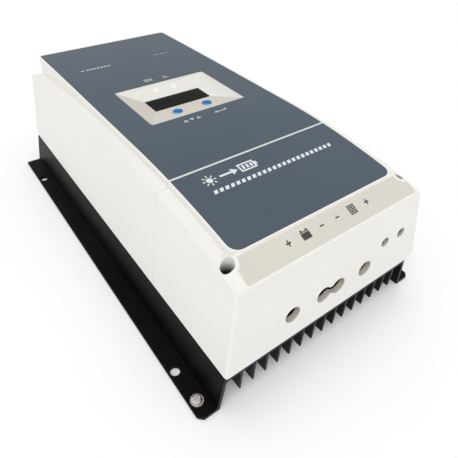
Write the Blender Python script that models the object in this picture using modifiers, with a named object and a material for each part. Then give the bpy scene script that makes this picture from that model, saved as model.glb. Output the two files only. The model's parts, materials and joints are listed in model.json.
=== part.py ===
"""Wall-mount solar charge controller, 240 x 394 x 134 mm, lying on its back.

+Z points out of the front face and the cable end is at -Y. The origin is the middle of the
face that lies against the wall. Every length below is in millimetres; the helper functions
turn them into metres.
"""

import math

import bmesh
import bpy
from mathutils import Matrix

MM = 0.001
GAP = 0.3  # between pieces that touch on the real object

# Outside sizes
WIDTH = 240.0
LENGTH = 394.0
HEIGHT = 134.0

# Heatsink: one extrusion along Y, with a mounting flange at each side
SINK_FRONT = -196.4
SINK_BACK = 191.5
SINK_TOP = 35.7
BASE_THICKNESS = 4.0
FLANGE_THICKNESS = 3.0
RAIL_TOP_X = 99.8  # outer face at the top, beside the cover
RAIL_FOOT_X = 104.8  # outer face at the flange
RAIL_WALL = 2.2
FIN_COUNT = 15
FIN_PITCH = 12.1
FIN_ROOT = 2.6
FIN_TIP = 1.6
FIN_END = 10.6
MOUNT_HOLE_X = 114.5
MOUNT_HOLE_PITCH = 300.0
MOUNT_HOLE_MIDDLE = -4.0
MOUNT_HOLE_RADIUS = 4.0
FLANGE_CORNER = 4.0
GROUND_X = -113.5
GROUND_Y = -183.0

# Covers
WALL = 2.5
COVER_BOTTOM = SINK_TOP + GAP
COVER_HALF_WIDTH = 99.0
SIDE_DRAFT = 0.107
FRONT_DRAFT = 0.062
BACK_DRAFT = 0.084
SEAM_Y = -94.5
CORNER_RADIUS = 2.2
SPACE_BELOW = 8.0  # how far the inner space reaches below the covers

# Raised platform that carries the labels
PLATFORM_HALF_WIDTH = 79.5
PLATFORM_FRONT = -172.8
PLATFORM_BACK = 189.0
PLATFORM_FRONT_RADIUS = 9.5
PLATFORM_BACK_RADIUS = 5.0
RIM = 1.5
LABEL_THICKNESS = 0.5
LABEL_SET_BACK = 0.15
RECESS_DEPTH = LABEL_SET_BACK + LABEL_THICKNESS + GAP
CROWN_Y = -50.0
LEDGE_CROWN_Y = -60.0
LEDGE_CROWN = 128.0

# Sloping front below the label, y and z, whose ends lean down to the shoulder
SLOPE_TOP = (-171.5, 123.2)
SLOPE_FOOT = (-191.9, 113.75)
SLOPE_HALF_WIDTH = 81.6
SLOPE_END_X = 89.5
SLOPE_CORE_Z = 100.0
SLOPE_LEAN_BACK = 9.0

# Cable end
POWER_HOLES_X = (-40.0, -8.5, 7.0, 37.5)
POWER_HOLE_Z = 61.0
POWER_HOLE_RADIUS = 7.0
POWER_HOLE_NECK = 3.8  # half height of the slot that joins the two middle holes
SIGNAL_HOLES_X = (58.0, 78.0)
SIGNAL_HOLE_Z = 77.7
SIGNAL_HOLE_RADIUS = 4.4
COLLAR_WALL = 1.8
COLLAR_FRONT = -194.3
COLLAR_BACK = -191.3

# Lower right corner of the cable end, x and z, which flares out and dies away at the seam
FLARE_FOOT = (99.0, 36.0)
FLARE_EDGE = (107.8, 42.0)
FLARE_TOP_Z = 112.5
FLARE_CORE_X = 70.0

# Screws of the terminal cover, in deep wells
WELL_X = 84.5
WELL_Y = -173.9
WELL_SEAT = 98.0
WELL_OUTER = 6.0
WELL_BORE = 4.8

# Screws of the upper cover, driven from below between the rail and the first fin
BOSS_X = 90.0
BOSS_Y = (-78.0, 172.0)
BOSS_RADIUS = 5.0
BOSS_TOP = 60.0

# Display: a sloping tray, x0, y0, x1, y1 of its mouth and of the window in its floor
MOUTH = (-50.5, -19.5, 50.5, 55.5)
MOUTH_Z = 133.0
MOUTH_CORNER = 5.0
WINDOW = (-30.5, 9.8, 30.5, 32.8)
WINDOW_Z = 128.0
TRAY_WALL = 2.2
TRAY_BOTTOM = 125.6
TRAY_RIM = 132.8
BUTTONS_X = {"select": -16.0, "enter": 16.0}
BUTTON_Y = -4.6
BUTTON_RADIUS = 4.6
BUTTON_TOP = 132.0
LAMPS = {"charging": (-9.8, 44.8), "fault": (9.8, 44.8)}
LAMP_RADIUS = 3.5
LAMP_TOP = 132.2
DISPLAY_BOARD_TOP = 117.8
COLLAR_TOP = TRAY_BOTTOM - GAP
STEM_END = DISPLAY_BOARD_TOP + 5.2
BOARD_THICKNESS = 1.6

# Main board and what stands on it
BOARD_BOTTOM = 50.0
BOARD_TOP = BOARD_BOTTOM + BOARD_THICKNESS
BOARD_HALF_WIDTH = 84.0
BOARD_FRONT = -166.0
BOARD_BACK = 178.0
STANDOFF_X = 78.0
STANDOFF_Y = (-120.0, 165.0)

# Terminal block: four bays, each with a pressure plate and its screw
BLOCK_LOW = (-54.5, -160.0, BOARD_TOP + GAP)
BLOCK_HIGH = (50.5, -128.0, 82.0)
BAY_X = (-40.0, -14.7, 10.7, 36.0)
BAY_HALF_WIDTH = 8.5
BAY_LOW = 54.0
BAY_HIGH = 72.0
BAY_BACK = -138.0
CLAMP_Y = -149.0
CLAMP_SEAT = 75.2
PLATE_THICKNESS = 3.0

COVER_WHITE = (0.84, 0.81, 0.75, 1)
ANODISED_BLACK = (0.012, 0.012, 0.014, 1)
LABEL_SLATE = (0.075, 0.105, 0.135, 1)
STEEL = (0.62, 0.61, 0.58, 1)
BOARD_GREEN = (0.02, 0.13, 0.06, 1)
BRASS = (0.75, 0.62, 0.32, 1)

# Whole looks: colour, roughness and metallic
STEEL_LOOK = (STEEL, 0.3, 1.0)
BRASS_LOOK = (BRASS, 0.35, 1.0)
DARK_PLASTIC = ((0.02, 0.02, 0.02, 1), 0.5, 0.0)
PALE_PLASTIC = ((0.7, 0.66, 0.5, 1), 0.5, 0.0)
KEY_PLASTIC = ((0.01, 0.19, 0.66, 1), 0.35, 0.0)
LENS_PLASTIC = ((0.85, 0.87, 0.8, 1), 0.2, 0.0)
COPPER_WIRE = ((0.45, 0.16, 0.05, 1), 0.35, 0.7)
SLEEVE_LOOK = ((0.03, 0.04, 0.07, 1), 0.35, 0.2)


def clear_scene():
    for item in list(bpy.data.objects):
        bpy.data.objects.remove(item, do_unlink=True)


def new_collection(name):
    made = bpy.data.collections.new(name)
    bpy.context.scene.collection.children.link(made)
    return made


clear_scene()
PARTS = new_collection("charge_controller")
CUTTERS = new_collection("cutters")


def finish_material(name, colour, roughness, metallic):
    made = bpy.data.materials.new(name)
    made.use_nodes = True
    shader = made.node_tree.nodes["Principled BSDF"]
    shader.inputs["Base Color"].default_value = colour
    shader.inputs["Roughness"].default_value = roughness
    shader.inputs["Metallic"].default_value = metallic
    made.diffuse_color = colour
    return made


def add_object(name, mesh, look=None):
    """Links a mesh as a part when it is given a look, and as a hidden cutter when it isn't."""
    item = bpy.data.objects.new(name, mesh)
    if look is None:
        CUTTERS.objects.link(item)
        item.hide_render = True
        item.display_type = "WIRE"
    else:
        PARTS.objects.link(item)
        mesh.materials.append(finish_material(name, *look))
    return item


def mesh_from(name, bm):
    mesh = bpy.data.meshes.new(name)
    bmesh.ops.recalc_face_normals(bm, faces=bm.faces)
    bm.to_mesh(mesh)
    bm.free()
    return mesh


def tapered_box(name, bottom, top, bottom_z, top_z, look=None, corner=0.0, segments=3):
    """A box between two rectangles (x0, y0, x1, y1), its upright edges rounded by corner."""
    bm = bmesh.new()
    bmesh.ops.create_cube(bm, size=2)
    for vert in bm.verts:
        x0, y0, x1, y1 = top if vert.co.z > 0 else bottom
        vert.co.x = (x1 if vert.co.x > 0 else x0) * MM
        vert.co.y = (y1 if vert.co.y > 0 else y0) * MM
        vert.co.z = (top_z if vert.co.z > 0 else bottom_z) * MM
    if corner:
        upright = [e for e in bm.edges if abs(e.verts[0].co.z - e.verts[1].co.z) > GAP * MM]
        bmesh.ops.bevel(bm, geom=upright, offset=corner * MM, segments=segments, affect="EDGES", profile=0.5)
    return add_object(name, mesh_from(name, bm), look)


def box(name, low, high, look=None, corner=0.0):
    sides = (low[0], low[1], high[0], high[1])
    return tapered_box(name, sides, sides, low[2], high[2], look, corner)


def cylinder(name, centre, radius, low, high, look=None, sides=32, axis="Z"):
    """A cylinder along Z from z=low to z=high, or along Y from y=low to y=high."""
    bm = bmesh.new()
    bmesh.ops.create_cone(
        bm, cap_ends=True, segments=sides, radius1=radius * MM, radius2=radius * MM, depth=(high - low) * MM
    )
    item = add_object(name, mesh_from(name, bm), look)
    middle = (low + high) / 2
    if axis == "Z":
        item.location = (centre[0] * MM, centre[1] * MM, middle * MM)
    else:
        item.location = (centre[0] * MM, middle * MM, centre[1] * MM)
        item.rotation_euler = (math.pi / 2, 0, 0)
    return item


def prism(name, outline, low, high, look=None, along="Z"):
    """A flat outline extruded from low to high: an x, y outline along Z or a y, z outline along X."""
    curve = bpy.data.curves.new(name, "CURVE")
    curve.dimensions = "2D"
    curve.fill_mode = "BOTH"
    curve.extrude = (high - low) / 2 * MM
    spline = curve.splines.new("POLY")
    spline.points.add(len(outline) - 1)
    for point, (a, b) in zip(spline.points, outline):
        point.co = (a * MM, b * MM, 0, 1)
    spline.use_cyclic_u = True
    flat = bpy.data.objects.new(name + "_outline", curve)
    CUTTERS.objects.link(flat)
    middle = (low + high) / 2 * MM
    if along == "Z":
        flat.matrix_world = Matrix.Translation((0, 0, middle))
    else:
        turn = Matrix(((0, 0, 1), (1, 0, 0), (0, 1, 0))).to_4x4()
        flat.matrix_world = Matrix.Translation((middle, 0, 0)) @ turn
    bpy.context.view_layer.update()
    mesh = bpy.data.meshes.new_from_object(flat.evaluated_get(bpy.context.evaluated_depsgraph_get()))
    place = flat.matrix_world.copy()
    bpy.data.objects.remove(flat)
    bm = bmesh.new()
    bm.from_mesh(mesh)
    bmesh.ops.remove_doubles(bm, verts=bm.verts, dist=0.001 * MM)
    bpy.data.meshes.remove(mesh)
    item = add_object(name, mesh_from(name, bm), look)
    item.matrix_world = place
    return item


def turned(name, profile, place, look=None, steps=16):
    """A profile of (radius, z) points, top to bottom, turned about the Z axis at place."""
    mesh = bpy.data.meshes.new(name)
    points = [(r * MM, 0, z * MM) for r, z in profile]
    mesh.from_pydata(points, [(i, i + 1) for i in range(len(points) - 1)], [])
    item = add_object(name, mesh, look)
    item.location = [value * MM for value in place]
    turn = item.modifiers.new("turn", "SCREW")
    turn.steps = steps
    turn.render_steps = steps
    turn.use_merge_vertices = True
    turn.merge_threshold = 0.00001
    return item


def combine(target, operation, others):
    for other in others:
        step = target.modifiers.new(other.name, "BOOLEAN")
        step.operation = operation
        step.object = other
        step.solver = "EXACT"


def bake(item):
    """Replaces the mesh by its evaluated one, so that later Booleans start from plain geometry."""
    bpy.context.view_layer.update()
    mesh = bpy.data.meshes.new_from_object(item.evaluated_get(bpy.context.evaluated_depsgraph_get()))
    item.modifiers.clear()
    item.data = mesh
    return item


def smooth(item, degrees=35):
    item.data.shade_smooth()
    item.data.set_sharp_from_angle(angle=math.radians(degrees))


def arc(centre_x, centre_y, radius, start, end, steps):
    """Points along an arc, with its angles in degrees."""
    turns = [math.radians(start + (end - start) * i / steps) for i in range(steps + 1)]
    return [(centre_x + radius * math.cos(t), centre_y + radius * math.sin(t)) for t in turns]


def rounded_outline(half_width, front, back, front_radius, back_radius, steps=5):
    front_x = half_width - front_radius
    back_x = half_width - back_radius
    points = arc(front_x, front + front_radius, front_radius, -90, 0, steps)
    points += arc(back_x, back - back_radius, back_radius, 0, 90, steps)
    points += arc(-back_x, back - back_radius, back_radius, 90, 180, steps)
    points += arc(-front_x, front + front_radius, front_radius, 180, 270, steps)
    return points


def crown_height(y):
    """The labelled surface: nearly flat behind its crown, and falling towards the cable end."""
    fall = 0.00068 if y < CROWN_Y else 0.000029
    return HEIGHT - fall * (y - CROWN_Y) ** 2


def ledge_height(y):
    """The shoulder beside the platform, an arch that falls to both ends."""
    fall = 0.00085 if y < LEDGE_CROWN_Y else 0.000266
    return LEDGE_CROWN - fall * (y - LEDGE_CROWN_Y) ** 2


def under_curve(height, drop, floor, steps=22):
    """A y, z outline filled from floor up to a height curve lowered by drop."""
    reach = LENGTH / 2 + 6
    ys = [-reach + 2 * reach * i / steps for i in range(steps + 1)]
    return [(y, height(y) - drop) for y in ys] + [(reach, floor), (-reach, floor)]


def skirt_rectangle(z, inset):
    rise = z - COVER_BOTTOM
    side = COVER_HALF_WIDTH - SIDE_DRAFT * rise - inset
    front = -LENGTH / 2 + FRONT_DRAFT * rise + inset
    back = LENGTH / 2 - BACK_DRAFT * rise - inset
    return (-side, front, side, back)


def cover_form(name, inset):
    """The whole cover as a solid. With an inset it is the space inside, and it reaches below the cover."""
    bottom = COVER_BOTTOM - (SPACE_BELOW if inset else 0)
    top = 131.0
    corner = CORNER_RADIUS if not inset else 1.5
    form = tapered_box(
        name, skirt_rectangle(bottom, inset), skirt_rectangle(top, inset), bottom, top, corner=corner
    )
    arch = prism(name + "_arch", under_curve(ledge_height, inset, 10), -130, 130, along="X")
    combine(form, "INTERSECT", [arch])
    outline = rounded_outline(
        PLATFORM_HALF_WIDTH - inset,
        PLATFORM_FRONT + inset,
        PLATFORM_BACK - inset,
        PLATFORM_FRONT_RADIUS - inset,
        PLATFORM_BACK_RADIUS - inset,
    )
    platform = prism(name + "_platform", outline, 95, 140)
    drop = inset + RECESS_DEPTH if inset else 0
    crown = prism(name + "_crown", under_curve(crown_height, drop, 80), -120, 120, along="X")
    combine(platform, "INTERSECT", [crown])
    slope = sloping_front(name + "_slope", inset)
    combine(form, "UNION", [bake(platform), slope, corner_flare(name + "_flare", inset)])
    return bake(form)


def hull(name, points):
    """The smallest convex solid around some points."""
    bm = bmesh.new()
    for x, y, z in points:
        bm.verts.new((x * MM, y * MM, z * MM))
    bmesh.ops.convex_hull(bm, input=bm.verts)
    return add_object(name, mesh_from(name, bm))


def sloping_front(name, inset):
    """The slope below the label, flat in its middle, with ends that lean down to the shoulder."""
    points = []
    for y, z in (SLOPE_TOP, SLOPE_FOOT):
        for side in (-1, 1):
            flat_x, end_x = side * (SLOPE_HALF_WIDTH - inset), side * (SLOPE_END_X - inset)
            points.append((flat_x, y + inset, z - inset))
            points.append((end_x, y + inset, ledge_height(y) - 0.5 - inset))
            points.append((end_x, y + inset, SLOPE_CORE_Z))
    back_y = SLOPE_TOP[0] + SLOPE_LEAN_BACK
    for side in (-1, 1):
        points.append((side * (SLOPE_HALF_WIDTH - inset), back_y, ledge_height(back_y) - 0.5 - inset))
    return hull(name, points)


def corner_flare(name, inset):
    """The wedge that widens the lower right corner at the cable end, and is flush at the seam."""
    foot_x, foot_z = FLARE_FOOT
    edge_x, edge_z = FLARE_EDGE
    bottom = foot_z - (SPACE_BELOW if inset else 0)
    top_z = FLARE_TOP_Z - inset
    section = [
        (FLARE_CORE_X, bottom),
        (foot_x - inset, bottom),
        (edge_x - inset, edge_z + inset * 0.8),
        (skirt_rectangle(top_z, inset)[2], top_z),
        (FLARE_CORE_X, top_z),
    ]
    points = []
    for x, z in section:
        sides = skirt_rectangle(z, inset)
        points.append((x, sides[1] + 0.02, z))
        points.append((min(x, sides[2] - 0.02), SEAM_Y, z))
    return hull(name, points)


def copy_as_part(source, name, look):
    mesh = source.data.copy()
    mesh.materials.clear()
    return add_object(name, mesh, look)


def label_band(name, drop, thickness, outline, look=None):
    """The label's film, or the recess for it: a band that follows the crown inside a plan outline."""
    band = prism(name, outline, 100, 140, look)
    upper = under_curve(crown_height, drop, 0)[:-2]
    lower = [(y, z - thickness) for y, z in reversed(upper)]
    curved = prism(name + "_band", upper + lower, -120, 120, along="X")
    combine(band, "INTERSECT", [curved])
    return band


def cross_recess(name, place, size, depth, up=True):
    """A Phillips recess: a plus-shaped cutter whose floor lies depth below the head's top."""
    arm, root, tip = size, size * 0.26, size * 0.2
    quarter = [(tip, arm), (root, root), (arm, tip)]
    outline = quarter + [(x, -y) for x, y in reversed(quarter)]
    outline += [(-x, -y) for x, y in quarter] + [(-x, y) for x, y in reversed(quarter)]
    x, y, z = place
    low, high = (z - depth, z + 1) if up else (z - 1, z + depth)
    return prism(name, [(x + a, y + b) for a, b in reversed(outline)], low, high)


def pan_screw(name, x, y, seat, head_radius, head_height, shank_radius, length, look, up=True):
    """A pan-head screw whose head rests on z=seat, with its shank below the head or above it."""
    crown = head_height * 0.55
    profile = [(0, head_height), (head_radius * 0.65, head_height * 0.97), (head_radius * 0.95, crown)]
    profile += [(head_radius, 0), (shank_radius, 0)]
    profile += [(shank_radius, -length + 0.5), (shank_radius * 0.7, -length), (0, -length)]
    item = turned(name, profile, (x, y, seat), look)
    head_top = seat + head_height
    if not up:
        item.rotation_euler = (math.pi, 0, 0)
        head_top = seat - head_height
    recess = cross_recess(name + "_recess", (x, y, head_top), head_radius * 0.62, head_height * 0.5, up)
    combine(item, "DIFFERENCE", [recess])
    smooth(item)
    return item


def sink_outline():
    """Half the heatsink's section from the middle of its top to the last fin, then mirrored."""
    half = WIDTH / 2
    under = SINK_TOP - BASE_THICKNESS
    right = [
        (RAIL_TOP_X - 1.0, SINK_TOP),
        (RAIL_TOP_X - 0.3, SINK_TOP - 0.3),
        (RAIL_TOP_X, SINK_TOP - 1.0),
        (RAIL_FOOT_X, FLANGE_THICKNESS + 0.8),
        (RAIL_FOOT_X + 0.8, FLANGE_THICKNESS),
        (half - 0.8, FLANGE_THICKNESS),
        (half, FLANGE_THICKNESS - 0.8),
        (half, 0.8),
        (half - 0.8, 0),
        (RAIL_FOOT_X - RAIL_WALL, 0),
        (RAIL_TOP_X - RAIL_WALL, under),
    ]
    fins = []
    for index in reversed(range(FIN_COUNT)):
        x = (index - (FIN_COUNT - 1) / 2) * FIN_PITCH
        root, tip = FIN_ROOT / 2, FIN_TIP / 2
        fins += [(x + root, under), (x + tip, FIN_END), (x - tip, FIN_END), (x - root, under)]
    left = [(-x, z) for x, z in reversed(right)]
    return right + fins + left


def heatsink():
    item = prism("heatsink", sink_outline(), SINK_FRONT, SINK_BACK, (ANODISED_BLACK, 0.38, 0.6), along="X")
    # The prism ran along X with its section in Y and Z: a quarter turn lays it along Y.
    middle = (SINK_FRONT + SINK_BACK) / 2 * MM
    turn = Matrix(((1, 0, 0), (0, 0, -1), (0, 1, 0))).to_4x4()
    item.matrix_world = Matrix.Translation((0, middle, 0)) @ turn
    holes = []
    for side in (-1, 1):
        for end in (-0.5, 0.5):
            spot = (side * MOUNT_HOLE_X, MOUNT_HOLE_MIDDLE + end * MOUNT_HOLE_PITCH)
            holes.append(cylinder(f"mount_hole_{len(holes)}", spot, MOUNT_HOLE_RADIUS, -2, 6, sides=28))
        holes.append(cylinder(f"well_thread_{side}", (side * WELL_X, WELL_Y), 2.3, 32.8, 40, sides=20))
        for y in BOSS_Y:
            holes.append(cylinder(f"boss_way_{side}_{y}", (side * BOSS_X, y), 2.3, 25, 40, sides=20))
    holes.append(cylinder("ground_thread", (GROUND_X, GROUND_Y), 2.2, -2, 6, sides=20))
    combine(item, "DIFFERENCE", holes)
    # The outer front corners of both flanges are cut at a slant.
    for side in (-1, 1):
        inner_x, outer_x = side * (WIDTH / 2 - FLANGE_CORNER), side * (WIDTH / 2 + FLANGE_CORNER)
        front_y, back_y = SINK_FRONT - FLANGE_CORNER, SINK_FRONT + FLANGE_CORNER
        corner = [
            (inner_x - side * FLANGE_CORNER, front_y),
            (outer_x, front_y),
            (outer_x, back_y + FLANGE_CORNER),
        ]
        combine(item, "DIFFERENCE", [prism(f"flange_corner_{side}", corner, -2, 6)])
    return item


def upper_cover(form, space):
    item = copy_as_part(form, "upper_cover", (COVER_WHITE, 0.42, 0.0))
    front = box("upper_front_cut", (-130, -230, 0), (130, SEAM_Y + GAP / 2, 160))
    room = copy_as_part(space, "upper_room", None)
    partition = box("partition_stop", (-130, -230, 0), (130, SEAM_Y + GAP / 2 + WALL, 160))
    combine(room, "DIFFERENCE", [partition])
    board_way = box("board_way", (-88, SEAM_Y - 5, 0), (88, SEAM_Y + 10, 61))
    combine(item, "DIFFERENCE", [front, bake(room)])
    combine(item, "DIFFERENCE", [board_way])
    for side in (-1, 1):
        for y in BOSS_Y:
            name = f"boss_{side}_{y}"
            spot = (side * BOSS_X, y)
            combine(item, "UNION", [cylinder(name, spot, BOSS_RADIUS, COVER_BOTTOM, BOSS_TOP, sides=24)])
            combine(item, "DIFFERENCE", [cylinder(name + "_bore", spot, 2.0, 30, BOSS_TOP - 3, sides=20)])
    outline = rounded_outline(
        PLATFORM_HALF_WIDTH - RIM, SEAM_Y + RIM / 2, PLATFORM_BACK - RIM, 0.5, PLATFORM_BACK_RADIUS - RIM
    )
    combine(item, "DIFFERENCE", [label_band("upper_label_recess", -3, RECESS_DEPTH + 3, outline)])
    x0, y0, x1, y1 = MOUTH
    reach = TRAY_WALL + GAP
    low, high = (x0 - reach, y0 - reach, 110), (x1 + reach, y1 + reach, 150)
    combine(item, "DIFFERENCE", [box("display_opening", low, high, corner=MOUTH_CORNER)])
    return item


def terminal_cover(form, space):
    item = copy_as_part(form, "terminal_cover", (COVER_WHITE, 0.42, 0.0))
    back = box("terminal_back_cut", (-130, SEAM_Y - GAP / 2, 0), (130, 230, 160))
    combine(item, "DIFFERENCE", [back, space])
    for side in (-1, 1):
        spot = (side * WELL_X, WELL_Y)
        post = cylinder(f"well_post_{side}", spot, WELL_OUTER, COVER_BOTTOM, 130, sides=28)
        combine(post, "INTERSECT", [copy_as_part(form, f"well_limit_{side}", None)])
        combine(item, "UNION", [bake(post)])
        bore = cylinder(f"well_bore_{side}", spot, WELL_BORE, WELL_SEAT, 130, sides=28)
        combine(item, "DIFFERENCE", [bore])
        combine(item, "DIFFERENCE", [cylinder(f"well_way_{side}", spot, 2.4, 30, WELL_SEAT + 1, sides=20)])
    outline = rounded_outline(
        PLATFORM_HALF_WIDTH - RIM, PLATFORM_FRONT + RIM, SEAM_Y - RIM / 2, PLATFORM_FRONT_RADIUS - RIM, 0.5
    )
    combine(item, "DIFFERENCE", [label_band("terminal_label_recess", -3, RECESS_DEPTH + 3, outline)])
    combine(item, "UNION", power_ways("collar", COLLAR_WALL, COLLAR_FRONT, COLLAR_BACK))
    combine(item, "DIFFERENCE", power_ways("hole", 0, -205, -180))
    for x in SIGNAL_HOLES_X:
        spot = (x, SIGNAL_HOLE_Z)
        hole = cylinder(f"signal_hole_{x}", spot, SIGNAL_HOLE_RADIUS, -205, -180, sides=24, axis="Y")
        combine(item, "DIFFERENCE", [hole])
    return item


def power_ways(name, wall, front, back):
    """Cylinders for the power holes, or for the collars that thicken the wall behind them."""
    radius = POWER_HOLE_RADIUS + wall
    ways = []
    for x in POWER_HOLES_X:
        ways.append(cylinder(f"{name}_{x}", (x, POWER_HOLE_Z), radius, front, back, sides=28, axis="Y"))
    reach = POWER_HOLE_NECK + wall
    low = (POWER_HOLES_X[1], front, POWER_HOLE_Z - reach)
    high = (POWER_HOLES_X[2], back, POWER_HOLE_Z + reach)
    return ways + [box(f"{name}_neck", low, high)]


def labels():
    look = (LABEL_SLATE, 0.35, 0.0)
    edge = RIM + GAP
    seam_edge = RIM / 2 + GAP
    half = PLATFORM_HALF_WIDTH - edge
    outline = rounded_outline(
        half, SEAM_Y + seam_edge, PLATFORM_BACK - edge, 0.5, PLATFORM_BACK_RADIUS - edge
    )
    upper = label_band("upper_label", LABEL_SET_BACK, LABEL_THICKNESS, outline, look)
    x0, y0, x1, y1 = MOUTH
    window = box("label_window", (x0, y0, 110), (x1, y1, 150), corner=MOUTH_CORNER - TRAY_WALL)
    combine(upper, "DIFFERENCE", [window])
    outline = rounded_outline(
        half, PLATFORM_FRONT + edge, SEAM_Y - seam_edge, PLATFORM_FRONT_RADIUS - edge, 0.5
    )
    label_band("terminal_label", LABEL_SET_BACK, LABEL_THICKNESS, outline, look)


def grown(rectangle, by):
    x0, y0, x1, y1 = rectangle
    return (x0 - by, y0 - by, x1 + by, y1 + by)


def display_bezel():
    bezel_look = (COVER_WHITE, 0.4, 0.0)
    low, high = grown(WINDOW, TRAY_WALL), grown(MOUTH, TRAY_WALL)
    item = tapered_box("display_bezel", low, high, TRAY_BOTTOM, TRAY_RIM, bezel_look, MOUTH_CORNER)
    posts = [
        cylinder(f"bezel_post_{x}_{y}", (x, y), 2.5, DISPLAY_BOARD_TOP + GAP, 131, sides=16)
        for x in (-44, 44)
        for y in (-12, 48)
    ]
    combine(item, "UNION", posts)
    over = 1.2
    above = tuple(w + (m - w) * over for m, w in zip(MOUTH, WINDOW))
    air = tapered_box("bezel_air", WINDOW, above, WINDOW_Z, WINDOW_Z + (MOUTH_Z - WINDOW_Z) * over)
    x0, y0, x1, y1 = WINDOW
    window = box("bezel_window", (x0, y0, 100), (x1, y1, WINDOW_Z + 1))
    ways = []
    for name, x in BUTTONS_X.items():
        ways.append(cylinder(f"{name}_way", (x, BUTTON_Y), BUTTON_RADIUS + GAP, 110, 140, sides=28))
    for name, spot in LAMPS.items():
        ways.append(cylinder(f"{name}_lamp_way", spot, LAMP_RADIUS + GAP, 110, 140, sides=24))
    combine(item, "DIFFERENCE", [air, window, *ways])


def display_stack():
    x0, y0, x1, y1 = WINDOW
    glass_top = TRAY_BOTTOM - GAP
    pane_low, pane_high = (x0 - 2, y0 - 2, glass_top - 1.5), (x1 + 2, y1 + 2, glass_top)
    pane = box("lcd_window", pane_low, pane_high, ((0.01, 0.02, 0.02, 1), 0.08, 0.0), 0.5)
    raised = box("window_raised", (x0 + GAP, y0 + GAP, glass_top - 1), (x1 - GAP, y1 - GAP, WINDOW_Z - GAP))
    combine(pane, "UNION", [raised])
    module_top = glass_top - 1.5 - GAP
    box(
        "lcd_module",
        (x0 - 3, y0 - 3, DISPLAY_BOARD_TOP + GAP),
        (x1 + 3, y1 + 3, module_top),
        ((0.10, 0.13, 0.10, 1), 0.5, 0.0),
        0.8,
    )
    low = DISPLAY_BOARD_TOP - BOARD_THICKNESS
    box("display_board", (-48, -17, low), (48, 53, DISPLAY_BOARD_TOP), (BOARD_GREEN, 0.5, 0.0), 1.5)
    for name, x in BUTTONS_X.items():
        button(name, x)
        tact_switch(name, x)
    for name, spot in LAMPS.items():
        top, foot = LAMP_TOP, DISPLAY_BOARD_TOP + GAP
        profile = [(0, top), (LAMP_RADIUS * 0.6, top - 0.5), (LAMP_RADIUS * 0.92, top - 1.5)]
        profile += [(LAMP_RADIUS, top - 2.4), (LAMP_RADIUS, foot), (0, foot)]
        smooth(turned(f"{name}_light_pipe", profile, (*spot, 0), LENS_PLASTIC, steps=20))


def button(name, x):
    """A round key: domed cap, retaining collar and a stem that stands on the switch's plunger."""
    top, under = BUTTON_TOP, COLLAR_TOP - 1.2
    cap = [(0, top), (2.2, top - 0.3), (3.8, top - 1.0), (BUTTON_RADIUS, top - 2.3)]
    collar = [(BUTTON_RADIUS, COLLAR_TOP), (6.0, COLLAR_TOP), (6.0, under)]
    stem = [(2.2, under), (2.2, STEM_END), (0, STEM_END)]
    smooth(turned(f"{name}_button", cap + collar + stem, (x, BUTTON_Y, 0), KEY_PLASTIC, steps=24))


def tact_switch(name, x):
    low = DISPLAY_BOARD_TOP + GAP
    spot = (x, BUTTON_Y)
    item = box(f"{name}_switch", (x - 3, BUTTON_Y - 3, low), (x + 3, BUTTON_Y + 3, low + 3.2), DARK_PLASTIC)
    combine(item, "DIFFERENCE", [cylinder(f"{name}_switch_well", spot, 2.05, low + 1.6, low + 5, sides=20)])
    cylinder(f"{name}_plunger", spot, 1.75, low + 2.3, STEM_END - GAP, PALE_PLASTIC, sides=20)


def main_board():
    item = box(
        "main_board",
        (-BOARD_HALF_WIDTH, BOARD_FRONT, BOARD_BOTTOM),
        (BOARD_HALF_WIDTH, BOARD_BACK, BOARD_TOP),
        (BOARD_GREEN, 0.5, 0.0),
        3,
    )
    spots = [(side * STANDOFF_X, y) for side in (-1, 1) for y in STANDOFF_Y]
    for number, spot in enumerate(spots, 1):
        combine(item, "DIFFERENCE", [cylinder(f"board_hole_{number}", spot, 1.9, 45, 55, sides=16)])
        low, high = SINK_TOP + GAP, BOARD_BOTTOM - GAP
        post = cylinder(f"board_standoff_{number}", spot, 3.6, low, high, BRASS_LOOK, 6)
        combine(post, "DIFFERENCE", [cylinder(f"standoff_bore_{number}", spot, 1.8, 40, 55, sides=16)])
        pan_screw(f"board_screw_{number}", *spot, BOARD_TOP + GAP, 2.9, 2.2, 1.5, 8, STEEL_LOOK)


def inductors():
    """Two wound toroids, each with its windings as one smooth ring."""
    for number, side in enumerate((-1, 1), 1):
        place = (side * 44, -42, BOARD_TOP + GAP)
        profile = [(12, 29), (15, 31), (24, 31), (27, 29), (28, 26)]
        profile += [(28, 5), (27, 2), (24, 0), (15, 0), (12, 2), (12, 29)]
        smooth(turned(f"inductor_{number}", profile, place, COPPER_WIRE, steps=28), 60)


def capacitors():
    for number, x in enumerate((-60, -28, 28, 60), 1):
        place = (x, 112, BOARD_TOP + GAP)
        profile = [(0, 44.6), (9.4, 44.6), (9.6, 45), (10.6, 45), (11, 44)]
        profile += [(11, 6), (10.5, 5), (11, 4), (11, 0), (0, 0)]
        smooth(turned(f"capacitor_{number}", profile, place, SLEEVE_LOOK, steps=20))


def power_devices():
    """Transistors under the board, pressed on a thermal pad on the heatsink by one bar."""
    low = SINK_TOP + GAP
    box("thermal_pad", (-62, 18, low), (62, 52, low + 0.5), ((0.5, 0.5, 0.55, 1), 0.8, 0.0))
    for number, x in enumerate((-45, -15, 15, 45), 1):
        body_low = low + 0.5 + GAP
        box(f"power_transistor_{number}", (x - 8, 24, body_low), (x + 8, 46, body_low + 5), DARK_PLASTIC)
    bar_low = low + 0.5 + GAP + 5 + GAP
    bar = box("clamp_bar", (-62, 30, bar_low), (62, 40, bar_low + 4), (STEEL, 0.35, 1.0), 1)
    spots = [(-30, 35), (30, 35)]
    for number, spot in enumerate(spots, 1):
        combine(bar, "DIFFERENCE", [cylinder(f"bar_hole_{number}", spot, 1.9, 30, 60, sides=16)])
    return bar


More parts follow.
